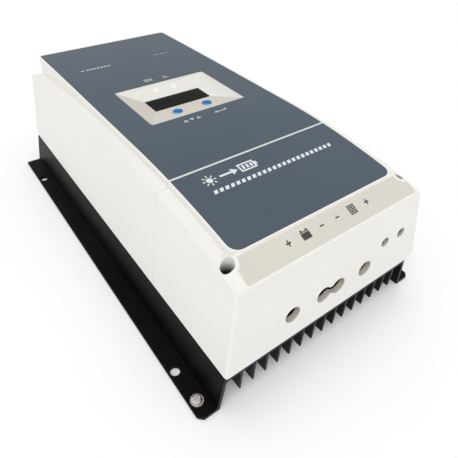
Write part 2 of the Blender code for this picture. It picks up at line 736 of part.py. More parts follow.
def terminal_block():
    """Each screw turns in place, and its plate climbs the thread to press the wire to the bay's roof."""
    item = box("terminal_block", BLOCK_LOW, BLOCK_HIGH, ((0.02, 0.025, 0.03, 1), 0.5, 0.0))
    for number, x in enumerate(BAY_X, 1):
        left, right = x - BAY_HALF_WIDTH, x + BAY_HALF_WIDTH
        bay = box(f"bay_{number}", (left, -170, BAY_LOW), (right, BAY_BACK, BAY_HIGH))
        spot = (x, CLAMP_Y)
        shank_way = cylinder(f"shank_way_{number}", spot, 3.1, BAY_HIGH - 1, CLAMP_SEAT + 1, sides=20)
        driver_way = cylinder(f"driver_way_{number}", spot, 4.4, CLAMP_SEAT, 90, sides=20)
        combine(item, "DIFFERENCE", [bay, shank_way, driver_way])
        low = BAY_LOW + GAP
        half = BAY_HALF_WIDTH - GAP
        plate = box(
            f"clamp_plate_{number}",
            (x - half, -158, low),
            (x + half, BAY_BACK - GAP, low + PLATE_THICKNESS),
            BRASS_LOOK,
        )
        combine(plate, "DIFFERENCE", [cylinder(f"plate_hole_{number}", spot, 3.1, low - 2, low + 6, sides=20)])
        length = CLAMP_SEAT - BAY_LOW
        pan_screw(f"terminal_screw_{number}", *spot, CLAMP_SEAT + GAP, 4.0, 3.2, 2.8, length, STEEL_LOOK)


def signal_connectors():
    low = BOARD_TOP + GAP
    item = box("communication_port", (64, -162, low), (80, -141, low + 13.5), DARK_PLASTIC)
    combine(item, "DIFFERENCE", [box("port_socket", (66, -170, low + 1.5), (78, -148, low + 10))])
    item = box("sensor_connector", (52.5, -162, low), (62.5, -150, low + 9), ((0.04, 0.18, 0.07, 1), 0.5, 0.0))
    combine(item, "DIFFERENCE", [box("sensor_socket", (54, -170, low + 2), (61, -154, low + 7))])


def ribbon_cable():
    """A flat cable hanging in one bend from the display board to the main board."""
    top = DISPLAY_BOARD_TOP - BOARD_THICKNESS - GAP
    bottom = BOARD_TOP + GAP
    span = top - bottom
    steps = 20
    sway = 16.0
    turns = [i / steps for i in range(steps + 1)]
    path = [(-8 - sway * math.sin(math.pi * t) ** 2, top - span * t) for t in turns]
    thickness = 0.9
    outline = path + [(y + thickness, z) for y, z in reversed(path)]
    prism("ribbon_cable", outline, -9, 9, ((0.55, 0.55, 0.55, 1), 0.5, 0.0), along="X")


def fasteners():
    seat = WELL_SEAT + GAP
    for side, name in ((-1, "left"), (1, "right")):
        name = f"terminal_cover_screw_{name}"
        pan_screw(name, side * WELL_X, WELL_Y, seat, 4.0, 2.8, 2.0, 64.5, STEEL_LOOK)
    number = 0
    for side in (-1, 1):
        for y in BOSS_Y:
            number += 1
            name = f"upper_cover_screw_{number}"
            under = SINK_TOP - BASE_THICKNESS - GAP
            pan_screw(name, side * BOSS_X, y, under, 3.8, 2.6, 1.7, 24, STEEL_LOOK, up=False)


def star_outline(x, y, inner, outer, teeth):
    points = []
    for index in range(teeth * 2):
        turn = math.pi * index / teeth
        radius = outer if index % 2 else inner
        points.append((x + radius * math.cos(turn), y + radius * math.sin(turn)))
    return points


def ground_point():
    low = FLANGE_THICKNESS + GAP
    high = low + 0.8
    washer = prism("ground_washer", star_outline(GROUND_X, GROUND_Y, 4.6, 5.3, 14), low, high, STEEL_LOOK)
    combine(washer, "DIFFERENCE", [cylinder("washer_hole", (GROUND_X, GROUND_Y), 2.2, 0, 8, sides=20)])
    pan_screw("ground_screw", GROUND_X, GROUND_Y, high + GAP, 4.0, 2.8, 1.8, 4.2, STEEL_LOOK)


def build():
    heatsink()
    form = cover_form("cover_outside", 0.0)
    space = cover_form("cover_inside", WALL)
    upper_cover(form, space)
    terminal_cover(form, space)
    labels()
    display_bezel()
    display_stack()
    main_board()
    inductors()
    capacitors()
    power_devices()
    terminal_block()
    signal_connectors()
    ribbon_cable()
    fasteners()
    ground_point()


build()
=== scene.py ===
"""Looks for the wall-mount solar charge controller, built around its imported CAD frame.

The CAD nodes keep their shapes. They get rounded edges and full materials here. The printed marks
and the slope's film are added as pieces of their own. Domed pieces replace the two keys and the two
light pipes, and ride on the same bodies.
Lengths are in metres, except that the printed shapes are drawn in millimetres.
"""

import json
import math

import bmesh
import bpy
from mathutils import Matrix, Vector
from mathutils.bvhtree import BVHTree

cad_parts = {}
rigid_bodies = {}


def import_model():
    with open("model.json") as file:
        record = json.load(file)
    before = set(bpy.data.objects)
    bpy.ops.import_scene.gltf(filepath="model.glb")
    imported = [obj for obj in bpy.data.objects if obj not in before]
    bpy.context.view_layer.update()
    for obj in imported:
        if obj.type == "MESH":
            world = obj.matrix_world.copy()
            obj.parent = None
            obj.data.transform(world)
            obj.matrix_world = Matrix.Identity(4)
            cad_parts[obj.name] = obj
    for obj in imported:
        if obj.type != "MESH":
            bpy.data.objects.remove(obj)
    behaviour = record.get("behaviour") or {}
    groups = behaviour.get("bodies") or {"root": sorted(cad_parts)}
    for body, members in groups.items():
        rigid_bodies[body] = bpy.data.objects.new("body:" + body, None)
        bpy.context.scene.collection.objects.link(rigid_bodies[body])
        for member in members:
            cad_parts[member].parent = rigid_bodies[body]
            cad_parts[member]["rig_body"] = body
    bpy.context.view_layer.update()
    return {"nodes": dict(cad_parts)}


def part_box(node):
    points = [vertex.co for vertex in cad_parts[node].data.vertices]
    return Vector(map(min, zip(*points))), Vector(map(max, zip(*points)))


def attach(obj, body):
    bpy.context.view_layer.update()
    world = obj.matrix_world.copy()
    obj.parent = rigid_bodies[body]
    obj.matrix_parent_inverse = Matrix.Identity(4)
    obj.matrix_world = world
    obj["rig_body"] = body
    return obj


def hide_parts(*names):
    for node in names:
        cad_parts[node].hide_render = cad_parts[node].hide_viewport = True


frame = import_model()
NODES = frame["nodes"]
MM = 0.001

# The photograph's viewpoint
CAMERA_AZIMUTH = -37.06
CAMERA_ELEVATION = 37.19
CAMERA_ROLL = 1.97
CAMERA_PLACE = (-0.20295, -0.32121, 0.32372)
CAMERA_LENS = 35.14
CAMERA_SHIFT = (0.018, -0.093)

# Colours, linear
COVER = (0.85, 0.836, 0.80)
COVER_SHADE = (0.815, 0.80, 0.762)
# The next two are painted shade: the cable holes' walls and the depths of the screw wells
HOLE_WALL_PAINTED_SHADE = (0.56, 0.52, 0.45)
WELL_PAINTED_SHADE = (0.02, 0.016, 0.011)
BEZEL = (0.785, 0.772, 0.735)
# painted shade for the tray slopes that lean away from the cable end
BEZEL_PAINTED_SHADE = (0.61, 0.56, 0.49)
SLOPE_FILM = (0.665, 0.64, 0.575)
BLACK_ANODISED = (0.0018, 0.0016, 0.0022)
GREY_ANODISED = (0.0042, 0.004, 0.005)
# the sawn ends' own paler colour, also laid on the fins as a painted sheen
SAWN_END_AND_FIN_SHEEN = (0.022, 0.021, 0.028)
SLATE = (0.067, 0.093, 0.123)
SLATE_LIGHT = (0.074, 0.100, 0.128)
PRINT_WHITE = (0.78, 0.79, 0.80)
PRINT_SOFT = (0.52, 0.54, 0.56)
PRINT_DARK = (0.045, 0.047, 0.045)
KEY_BLUE = (0.001, 0.155, 0.50)
# a painted highlight for the keys' rims
KEY_RIM_HIGHLIGHT = (0.07, 0.34, 0.66)
ZINC = (0.72, 0.70, 0.66)
BRASS = (0.72, 0.53, 0.25)
COPPER = (0.5, 0.2, 0.06)
COPPER_DEEP = (0.16, 0.045, 0.012)
WORN_BLACK = (0.045, 0.045, 0.052)
WINDOW_BLACK = (0.003, 0.005, 0.003)
WINDOW_GREY = (0.006, 0.009, 0.004)
LENS = (0.90, 0.872, 0.80)
LENS_SHADE = (0.86, 0.832, 0.76)
MASK_GREEN = (0.012, 0.11, 0.045)
MASK_LIGHT = (0.016, 0.14, 0.055)
MASK_TRACK = (0.03, 0.20, 0.08)
MASK_CLOUD = (0.01, 0.08, 0.035)
FLOOR = (0.965, 0.965, 0.965)
FLOOR_SHADE = (0.95, 0.95, 0.95)

# Where the cover's painted shade lies: down the screw wells and on the cable holes' walls
WELL_SHADE_RADIUS = 0.0054
WELL_SHADE_START = 0.0165  # above the top of the cover screw's head
WELL_SHADE_END = 0.0085
HOLES_HALF_SPAN = 0.086
HOLES_FRONT_Y = -0.190
HOLES_LOW_Z = 0.050
HOLES_HIGH_Z = 0.084
SIDE_FACING = 0.6  # a hole's wall faces less than this along Y

# Where the heatsink's colour changes: paler sawn ends, and a painted sheen on the fins
SAWN_DEPTH = 0.0003
FINS_HALF_SPAN = 0.088

# The cover's slope over the cable holes, in millimetres
SLOPE_TOP_Y = -173.4
SLOPE_LOW_Y = -190.8
SLOPE_CREASE_X = 81.6  # the slope's ends lean down beyond it
SLOPE_LEFT_END_X = 81.2
SLOPE_RIGHT_END_X = 86.0
WELL_CLEARANCE = 7.5  # from a screw well's middle to the film
FILM_CORNER = 1.0

# Rows of printed marks, in millimetres
SYMBOL_ROW_Y = -109.0
GAUGE_ROW_Y = -121.4
CAPTION_ROW_Y = -28.9
SLOPE_ROW_Y = -180.6
CABLE_PITCH = 15.45
FIRST_CABLE_X = -39.8

# How the printed pieces lie on the surface under them
INK_LIFT = 0.00006
INK_THICKNESS = 0.00005
FILM_LIFT = 0.0001
FILM_THICKNESS = 0.00012
SLOPE_MARK_LIFT = 0.0003  # clear of the slope's film
PRINT_CELL = 0.004  # a print is cut this often along Y, to follow a curved surface

# Light
SKY_STRENGTH = 0.75
LIGHT_TOWARDS = (0.36, 0.36, -0.95)
LIGHT_SPREAD = 45
LIGHT_STRENGTH = 1.12

COVER_SCREWS = ("terminal_cover_screw_left", "terminal_cover_screw_right")

ABOVE_ALL = 0.2  # rays that look for a surface start at this height
DOWN = Vector((0, 0, -1))


def scaled(colour, factor):
    return tuple(value * factor for value in colour)


def set_socket(shader, **values):
    for key, value in values.items():
        socket = shader.inputs[key.replace("_", " ")]
        socket.default_value = value


def new_material(name, roughness, metallic=0.0, **sockets):
    material = bpy.data.materials.new(name)
    material.use_nodes = True
    shader = material.node_tree.nodes["Principled BSDF"]
    set_socket(shader, Roughness=roughness, Metallic=metallic, **sockets)
    return material, material.node_tree, shader


def coordinates(tree, stretch=(1, 1, 1)):
    source = tree.nodes.new("ShaderNodeTexCoord")
    mapping = tree.nodes.new("ShaderNodeMapping")
    mapping.inputs["Scale"].default_value = stretch
    tree.links.new(source.outputs["Object"], mapping.inputs["Vector"])
    return mapping.outputs["Vector"]


def noise(tree, scale, detail=3.0, stretch=(1, 1, 1), roughness=0.55):
    made = tree.nodes.new("ShaderNodeTexNoise")
    made.inputs["Scale"].default_value = scale
    made.inputs["Detail"].default_value = detail
    made.inputs["Roughness"].default_value = roughness
    tree.links.new(coordinates(tree, stretch), made.inputs["Vector"])
    return made.outputs["Fac"]


def spread(tree, value, low, high, to_low=0.0, to_high=1.0):
    made = tree.nodes.new("ShaderNodeMapRange")
    made.inputs["From Min"].default_value = low
    made.inputs["From Max"].default_value = high
    made.inputs["To Min"].default_value = to_low
    made.inputs["To Max"].default_value = to_high
    tree.links.new(value, made.inputs["Value"])
    return made.outputs["Result"]


def mixed(tree, factor, first, second):
    """A colour between two others, each a colour or another node's output."""
    made = tree.nodes.new("ShaderNodeMix")
    made.data_type = "RGBA"
    tree.links.new(factor, made.inputs["Factor"])
    for socket, value in ((made.inputs[6], first), (made.inputs[7], second)):
        if isinstance(value, tuple):
            socket.default_value = (*value, 1)
        else:
            tree.links.new(value, socket)
    return made.outputs[2]


def combined(tree, operation, first, second):
    made = tree.nodes.new("ShaderNodeMath")
    made.operation = operation
    for socket, value in zip(made.inputs, (first, second)):
        if isinstance(value, (int, float)):
            socket.default_value = value
        else:
            tree.links.new(value, socket)
    return made.outputs["Value"]


def colour_by(tree, shader, colour):
    tree.links.new(colour, shader.inputs["Base Color"])


def roughen(tree, shader, value, low, high, to_low, to_high):
    tree.links.new(spread(tree, value, low, high, to_low, to_high), shader.inputs["Roughness"])


def bump(tree, shader, height, distance):
    made = tree.nodes.new("ShaderNodeBump")
    made.inputs["Distance"].default_value = distance
    made.inputs["Strength"].default_value = 1.0
    tree.links.new(height, made.inputs["Height"])
    tree.links.new(made.outputs["Normal"], shader.inputs["Normal"])


def edge_mask(tree, radius):
    """1 along sharp edges, 0 on flat surface: how far a bevelled normal leans from the real one."""
    rounded = tree.nodes.new("ShaderNodeBevel")
    rounded.samples = 4
    rounded.inputs["Radius"].default_value = radius
    surface = tree.nodes.new("ShaderNodeNewGeometry")
    product = tree.nodes.new("ShaderNodeVectorMath")
    product.operation = "DOT_PRODUCT"
    tree.links.new(rounded.outputs["Normal"], product.inputs[0])
    tree.links.new(surface.outputs["Normal"], product.inputs[1])
    return spread(tree, product.outputs["Value"], 0.995, 0.9)


def place_along(tree, axis):
    """The object coordinate along one axis, in metres."""
    source = tree.nodes.new("ShaderNodeTexCoord")
    parts = tree.nodes.new("ShaderNodeSeparateXYZ")
    tree.links.new(source.outputs["Object"], parts.inputs["Vector"])
    return parts.outputs[axis]


def facing_along(tree, axis):
    """How far the surface faces along one axis, from -1 to 1."""
    source = tree.nodes.new("ShaderNodeNewGeometry")
    parts = tree.nodes.new("ShaderNodeSeparateXYZ")
    tree.links.new(source.outputs["Normal"], parts.inputs["Vector"])
    return parts.outputs[axis]


def all_of(tree, *factors):
    result = factors[0]
    for factor in factors[1:]:
        result = combined(tree, "MULTIPLY", result, factor)
    return result


def recess_painted_shade(tree, body):
    """Painted shade: the plastic is painted darker down the two screw wells and on the cable holes'
    walls.
    """
    low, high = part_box("terminal_cover_screw_right")
    x, y, z = (place_along(tree, axis) for axis in "XYZ")
    side_x = combined(tree, "ABSOLUTE", x, 0)
    off_x = combined(tree, "SUBTRACT", side_x, (low.x + high.x) / 2)
    off_y = combined(tree, "SUBTRACT", y, (low.y + high.y) / 2)
    squares = (combined(tree, "MULTIPLY", off, off) for off in (off_x, off_y))
    in_well = combined(tree, "LESS_THAN", combined(tree, "ADD", *squares), WELL_SHADE_RADIUS**2)
    down = spread(tree, z, high.z + WELL_SHADE_START, high.z + WELL_SHADE_END, 0, 0.96)
    # painted shade, darkest deepest down each well
    body = mixed(tree, all_of(tree, in_well, down), body, WELL_PAINTED_SHADE)
    facing = combined(tree, "ABSOLUTE", facing_along(tree, "Y"), 0)
    across = combined(tree, "LESS_THAN", facing, SIDE_FACING)
    inside = combined(tree, "LESS_THAN", side_x, HOLES_HALF_SPAN)
    front = combined(tree, "LESS_THAN", y, HOLES_FRONT_Y)
    over = combined(tree, "GREATER_THAN", z, HOLES_LOW_Z)
    under = combined(tree, "LESS_THAN", z, HOLES_HIGH_Z)
    # painted shade on the cable holes' walls
    return mixed(tree, all_of(tree, across, inside, front, over, under), body, HOLE_WALL_PAINTED_SHADE)


def tray_painted_shade(tree, body):
    """Painted shade: the tray's slopes that lean away from the cable end are painted a warmer, darker
    tone.
    """
    lean = combined(tree, "ADD", facing_along(tree, "X"), facing_along(tree, "Y"))
    return mixed(tree, spread(tree, lean, -0.25, 0.22), body, BEZEL_PAINTED_SHADE)


def moulded(name, light, dark, roughness=0.42, grain=2200, depth=0.00003, painted_shade=None):
    """Injection-moulded plastic: spark-eroded grain, faint flow marks, slightly polished edges."""
    material, tree, shader = new_material(name, roughness, Specular_IOR_Level=0.45)
    flow = spread(tree, noise(tree, 14, 4, (1, 0.4, 1)), 0.3, 0.75)
    body = mixed(tree, flow, light, dark)
    edges = combined(tree, "MULTIPLY", edge_mask(tree, 0.0012), 0.35)
    bright = tuple(min(1.0, value * 1.07) for value in light)
    body = mixed(tree, edges, body, bright)
    # an optional painted shade laid over the plastic's colour
    if painted_shade:
        body = painted_shade(tree, body)
    colour_by(tree, shader, body)
    fine = noise(tree, grain, 2)
    roughen(tree, shader, fine, 0.3, 0.7, roughness - 0.05, roughness + 0.08)
    bump(tree, shader, fine, depth)
    return material


def printed_film(name, light, dark, roughness=0.4):
    """Polycarbonate film with a velvet finish and a trace of dust."""
    material, tree, shader = new_material(name, roughness, Specular_IOR_Level=0.25)
    broad = spread(tree, noise(tree, 9, 3), 0.35, 0.7)
    speck = spread(tree, noise(tree, 900, 2), 0.62, 0.75, 0, 0.35)
    body = mixed(tree, broad, light, dark)
    dust = tuple(min(1.0, value * 1.25 + 0.01) for value in light)
    colour_by(tree, shader, mixed(tree, speck, body, dust))
    fine = noise(tree, 3200, 2)
    roughen(tree, shader, fine, 0.3, 0.7, roughness - 0.06, roughness + 0.08)
    bump(tree, shader, fine, 0.000012)
    return material


def ink(name, colour):
    """Screen-printed ink: slightly uneven cover with a fine mesh texture."""
    material, tree, shader = new_material(name, 0.5)
    cover = spread(tree, noise(tree, 1500, 3), 0.3, 0.65)
    thin = scaled(colour, 0.86)
    colour_by(tree, shader, mixed(tree, cover, thin, colour))
    bump(tree, shader, noise(tree, 4000, 1), 0.000008)
    return material


def anodised(name):
    """Black anodised extrusion: die lines along Y, worn edges, paler sawn ends, and fins painted paler
    as a painted sheen.
    """
    material, tree, shader = new_material(name, 0.4, 0.0, Specular_IOR_Level=0.07)
    lines = noise(tree, 1, 4, (900, 5, 900))
    cloud = spread(tree, noise(tree, 11, 4), 0.35, 0.7)
    body = mixed(tree, cloud, BLACK_ANODISED, GREY_ANODISED)
    sink_low, sink_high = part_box("heatsink")
    along = place_along(tree, "Y")
    front = combined(tree, "LESS_THAN", along, sink_low.y + SAWN_DEPTH)
    back = combined(tree, "GREATER_THAN", along, sink_high.y - SAWN_DEPTH)
    sawn = combined(tree, "ADD", front, back)
    body = mixed(tree, combined(tree, "MULTIPLY", sawn, 0.8), body, SAWN_END_AND_FIN_SHEEN)
    side_x = combined(tree, "ABSOLUTE", place_along(tree, "X"), 0)
    fin_painted_sheen = combined(tree, "LESS_THAN", side_x, FINS_HALF_SPAN)
    # painted sheen: the fins are painted paler
    body = mixed(tree, combined(tree, "MULTIPLY", fin_painted_sheen, 0.7), body, SAWN_END_AND_FIN_SHEEN)
    edges = combined(tree, "MULTIPLY", edge_mask(tree, 0.0006), 0.3)
    body = mixed(tree, edges, body, WORN_BLACK)
    colour_by(tree, shader, body)
    roughen(tree, shader, lines, 0.3, 0.7, 0.32, 0.47)
    bump(tree, shader, lines, 0.00004)
    return material


def metal(name, colour, roughness=0.28, scratch=700):
    """Plated or turned metal with fine scratches and dulled patches."""
    material, tree, shader = new_material(name, roughness, 1.0)
    patch = spread(tree, noise(tree, 160, 4), 0.35, 0.7)
    dull = scaled(colour, 0.78)
    colour_by(tree, shader, mixed(tree, patch, colour, dull))
    fine = noise(tree, scratch, 4, (1, 6, 1))
    roughen(tree, shader, fine, 0.3, 0.7, roughness - 0.08, roughness + 0.16)
    bump(tree, shader, fine, 0.00002)
    return material


def window_glass(name):
    """The display's dark cover: near black, glossy, with faint wipe marks."""
    material, tree, shader = new_material(name, 0.1, 0.0, Specular_IOR_Level=0.04)
    shade = spread(tree, noise(tree, 40, 3, (1, 3, 1)), 0.3, 0.75)
    colour_by(tree, shader, mixed(tree, shade, WINDOW_BLACK, WINDOW_GREY))
    wipe = noise(tree, 1, 3, (60, 700, 60))
    roughen(tree, shader, wipe, 0.3, 0.75, 0.07, 0.2)
    bump(tree, shader, wipe, 0.000004)
    return material


def milky_lens(name):
    """Cloudy cast plastic that passes a lamp's light."""
    material, tree, shader = new_material(name, 0.22, 0.0, Coat_Weight=0.3)
    cloud = spread(tree, noise(tree, 260, 3), 0.3, 0.7)
    colour_by(tree, shader, mixed(tree, cloud, LENS, LENS_SHADE))
    bump(tree, shader, noise(tree, 900, 2), 0.00001)
    return material


def key_plastic(name):
    """Satin blue cap, painted paler where the dome turns away from straight up: a painted highlight on
    its rim.
    """
    material, tree, shader = new_material(name, 0.34, 0.0, Specular_IOR_Level=0.1)
    cloud = spread(tree, noise(tree, 300, 3), 0.35, 0.7)
    body = mixed(tree, cloud, KEY_BLUE, scaled(KEY_BLUE, 0.82))
    # painted highlight on the rim
    rim_highlight = spread(tree, facing_along(tree, "Z"), 0.88, 0.68, 0, 0.85)
    colour_by(tree, shader, mixed(tree, rim_highlight, body, KEY_RIM_HIGHLIGHT))
    fine = noise(tree, 2600, 2)
    roughen(tree, shader, fine, 0.3, 0.7, 0.28, 0.42)
    bump(tree, shader, fine, 0.00001)
    return material


def solder_mask(name):
    """Green board with its copper tracks showing through the mask."""
    material, tree, shader = new_material(name, 0.35, 0.0, Coat_Weight=0.3)
    bricks = tree.nodes.new("ShaderNodeTexBrick")
    bricks.inputs["Scale"].default_value = 120
    bricks.inputs["Mortar Size"].default_value = 0.06
    bricks.inputs["Color1"].default_value = (*MASK_GREEN, 1)
    bricks.inputs["Color2"].default_value = (*MASK_LIGHT, 1)
    bricks.inputs["Mortar"].default_value = (*MASK_TRACK, 1)
    tree.links.new(coordinates(tree), bricks.inputs["Vector"])
    cloud = spread(tree, noise(tree, 60, 3), 0.3, 0.7, 0, 0.4)
    colour_by(tree, shader, mixed(tree, cloud, bricks.outputs["Color"], MASK_CLOUD))
    bump(tree, shader, bricks.outputs["Fac"], 0.00005)
    return material


def windings(name):
    """Enamelled copper wire laid side by side around the core."""
    material, tree, shader = new_material(name, 0.3, 0.6, Coat_Weight=0.4)
    wave = tree.nodes.new("ShaderNodeTexWave")
    wave.wave_type = "BANDS"
    wave.bands_direction = "X"
    wave.inputs["Scale"].default_value = 260
    wave.inputs["Distortion"].default_value = 1.0
    tree.links.new(coordinates(tree), wave.inputs["Vector"])
    colour_by(tree, shader, mixed(tree, wave.outputs["Fac"], COPPER_DEEP, COPPER))
    bump(tree, shader, wave.outputs["Fac"], 0.0003)
    return material


def pale_floor(name):
    material, tree, shader = new_material(name, 0.75)
    cloud = spread(tree, noise(tree, 3, 2), 0.3, 0.7)
    colour_by(tree, shader, mixed(tree, cloud, FLOOR, FLOOR_SHADE))
    return material


def give(material, *names):
    for name in names:
        item = NODES[name]
        item.data.materials.clear()
        item.data.materials.append(material)


def numbered(stem, count=4):
    return [f"{stem}_{index}" for index in range(1, count + 1)]


def dress_nodes():
    # The cover and the bezel both carry painted shade: in the cover's wells and holes, on the bezel's
    # slopes
    cover = moulded("cover_plastic", COVER, COVER_SHADE, painted_shade=recess_painted_shade)
    give(cover, "upper_cover", "terminal_cover")
    bezel_dark = scaled(BEZEL, 0.96)
    bezel = moulded("bezel_plastic", BEZEL, bezel_dark, 0.36, 3000, 0.000015, painted_shade=tray_painted_shade)
    give(bezel, "display_bezel")
    give(anodised("black_anodised"), "heatsink")
    give(printed_film("slate_film", SLATE, SLATE_LIGHT), "upper_label", "terminal_label")
    give(window_glass("window_dark"), "lcd_window")
    give(moulded("lcd_frame", (0.10, 0.12, 0.09), (0.08, 0.10, 0.075), 0.4, 1800), "lcd_module")
    zinc = metal("zinc_plate", ZINC)
    give(zinc, "ground_screw", "ground_washer", "clamp_bar", *COVER_SCREWS)
    give(zinc, *numbered("board_screw"), *numbered("upper_cover_screw"), *numbered("terminal_screw"))
    brass = metal("brass_plate", BRASS, 0.32)
    give(brass, *numbered("board_standoff"), *numbered("clamp_plate"))
    give(solder_mask("green_board"), "main_board", "display_board")
    give(windings("copper_windings"), *numbered("inductor", 2))
    dark = moulded("black_moulded", (0.018, 0.018, 0.02), (0.028, 0.028, 0.03), 0.45, 1800)
    give(dark, "terminal_block", "communication_port", "select_switch", "enter_switch")
    give(dark, *numbered("power_transistor"))
    green = moulded("green_moulded", (0.02, 0.18, 0.06), (0.015, 0.14, 0.05), 0.45, 1800)
    give(green, "sensor_connector")
    cream = moulded("cream_moulded", (0.66, 0.60, 0.44), (0.58, 0.52, 0.37), 0.45, 1800)
    give(cream, "select_plunger", "enter_plunger")
    sleeve = moulded("sleeve_dark", (0.03, 0.035, 0.06), (0.02, 0.024, 0.045), 0.3, 1200)
    give(sleeve, *numbered("capacitor"))
    ribbon = moulded("ribbon_grey", (0.45, 0.45, 0.46), (0.36, 0.36, 0.37), 0.5, 1200)
    give(ribbon, "ribbon_cable")
    pad = moulded("soft_pad", (0.35, 0.36, 0.40), (0.28, 0.29, 0.33), 0.75, 1500)
    give(pad, "thermal_pad")


def round_edges(name, width, segments=2, angle=38):
    """Merges the CAD triangles of flat faces and rounds the sharp edges between them."""
    item = NODES[name]
    item.data.shade_smooth()
    weld = item.modifiers.new("weld", "WELD")
    weld.merge_threshold = 0.000002
    flat = item.modifiers.new("flat_faces", "DECIMATE")
    flat.decimate_type = "DISSOLVE"
    flat.angle_limit = math.radians(0.4)
    edges = item.modifiers.new("rounded_edges", "BEVEL")
    edges.width = width
    edges.segments = segments
    edges.limit_method = "ANGLE"
    edges.angle_limit = math.radians(angle)
    edges.harden_normals = True
    shading = item.modifiers.new("shading", "WEIGHTED_NORMAL")
    shading.keep_sharp = True


def round_nodes():
    round_edges("upper_cover", 0.0006, 3)
    round_edges("terminal_cover", 0.0006, 3)
    round_edges("heatsink", 0.00025)
    round_edges("display_bezel", 0.0002, angle=15)
    round_edges("lcd_window", 0.0002)
    for name in ("upper_label", "terminal_label"):
        round_edges(name, 0.00008, 1)
    blocks = ["terminal_block", "communication_port", "sensor_connector", "clamp_bar", "lcd_module"]
    for name in blocks + numbered("clamp_plate") + numbered("power_transistor"):
        round_edges(name, 0.0003)
    round_edges("select_switch", 0.0001)
    round_edges("enter_switch", 0.0001)
    for name in ("ground_screw", *COVER_SCREWS):
        round_edges(name, 0.0001)
    for name in numbered("terminal_screw") + numbered("upper_cover_screw"):
        round_edges(name, 0.0001)


def surface_of(name):
    """A tree for finding the highest point of a node's surface above a place in plan."""
    mesh = NODES[name].data
    places = [vertex.co for vertex in mesh.vertices]
    return BVHTree.FromPolygons(places, [tuple(face.vertices) for face in mesh.polygons])


def top_at(surface, x, y):
    return surface.ray_cast(Vector((x, y, ABOVE_ALL)), DOWN)[0].z


def new_object(name, data):
    item = bpy.data.objects.new(name, data)
    bpy.context.scene.collection.objects.link(item)
    return item


def mesh_of(bm, name, material):
    mesh = bpy.data.meshes.new(name)
    bm.to_mesh(mesh)
    bm.free()
    mesh.materials.append(material)
    return mesh


def cut_across(bm, place, normal):
    whole = list(bm.verts) + list(bm.edges) + list(bm.faces)
    bmesh.ops.bisect_plane(bm, geom=whole, plane_co=place, plane_no=normal)


def stamp(name, shapes, node, material, lift=INK_LIFT, thickness=INK_THICKNESS, creases=()):
    """Flat shapes in plan, cut into short cells and at creases, and laid on a node's upper surface."""
    bm = bmesh.new()
    for shape in shapes:
        bm.faces.new([bm.verts.new((x, y, 0)) for x, y in shape])
    bmesh.ops.triangulate(bm, faces=bm.faces)
    low = min(v.co.y for v in bm.verts)
    high = max(v.co.y for v in bm.verts)
    for step in range(math.floor(low / PRINT_CELL) + 1, math.ceil(high / PRINT_CELL)):
        cut_across(bm, (0, step * PRINT_CELL, 0), (0, 1, 0))
    for crease in creases:
        cut_across(bm, (crease, 0, 0), (1, 0, 0))
    ground = surface_of(node)
    for vert in bm.verts:
        vert.co.z = top_at(ground, vert.co.x, vert.co.y) + lift
    bmesh.ops.recalc_face_normals(bm, faces=bm.faces)
    if sum(face.normal.z for face in bm.faces) < 0:
        bmesh.ops.reverse_faces(bm, faces=bm.faces)
    item = new_object(name, mesh_of(bm, name, material))
    thick = item.modifiers.new("thickness", "SOLIDIFY")
    thick.thickness = thickness
    thick.offset = 1
    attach(item, NODES[node]["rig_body"])


def rectangle(x, y, width, height, slant=0.0):
    """Four corners around x, y in millimetres, its top edge moved right by slant."""
    half, tall = width / 2, height / 2
    corners = [(-half, -tall), (half, -tall), (half + slant, tall), (-half + slant, tall)]
    return [((x + a) * MM, (y + b) * MM) for a, b in corners]


def disc(x, y, radius, sides=28):
    turns = [math.tau * index / sides for index in range(sides)]
    return [((x + radius * math.cos(t)) * MM, (y + radius * math.sin(t)) * MM) for t in turns]


def polygon(x, y, points):
    return [((x + a) * MM, (y + b) * MM) for a, b in points]


def spoke(x, y, angle, start, end, width):
    """A bar that points away from x, y at an angle in degrees."""
    along = Vector((math.cos(math.radians(angle)), math.sin(math.radians(angle))))
    across = Vector((-along.y, along.x)) * width / 2
    ends = [along * start - across, along * end - across, along * end + across, along * start + across]
    return [((x + p.x) * MM, (y + p.y) * MM) for p in ends]


def solar_panel(x, y, width, height, columns, rows, gap):
    """A panel symbol made of separate cells."""
    cell_x = (width - gap * (columns - 1)) / columns
    cell_y = (height - gap * (rows - 1)) / rows
    left = x - width / 2 + cell_x / 2
    low = y - height / 2 + cell_y / 2
    return [
        rectangle(left + column * (cell_x + gap), low + row * (cell_y + gap), cell_x, cell_y)
        for column in range(columns)
        for row in range(rows)
    ]


